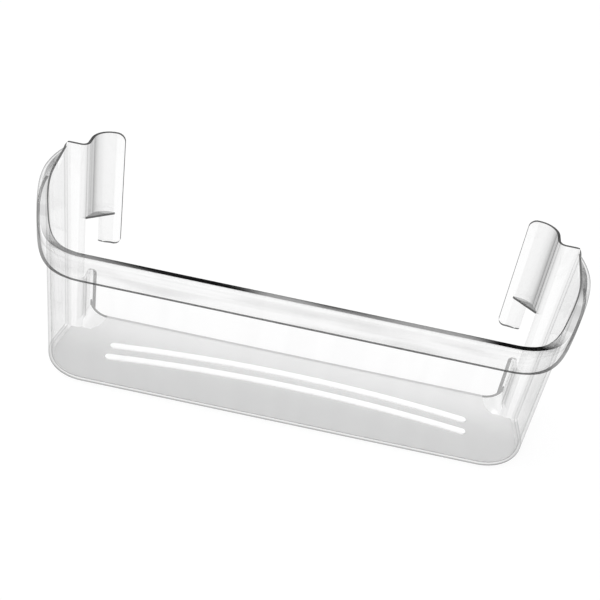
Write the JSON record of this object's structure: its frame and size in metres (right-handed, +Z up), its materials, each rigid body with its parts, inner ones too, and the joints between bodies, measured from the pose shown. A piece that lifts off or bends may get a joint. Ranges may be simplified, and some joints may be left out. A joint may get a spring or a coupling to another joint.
{
  "type": "refrigerator door shelf",
  "caption": "Clear moulded refrigerator door shelf: shallow tub with round front corners, a rolled rim rising to tall rear posts, hook tabs that drop over door lugs, and bowed floor ribs.",
  "frame": {"origin": "middle of the shelf's own box, on the underside of its floor", "axes": "+X across the door, +Y back to the door, +Z up"},
  "size_m": [0.4348, 0.1082, 0.1865],
  "materials": {
    "clear_polystyrene": "clear and polished, with a frosted floor"
  },
  "bodies": {
    "root": {"door_shelf": "clear_polystyrene"}
  },
  "joints": []
}
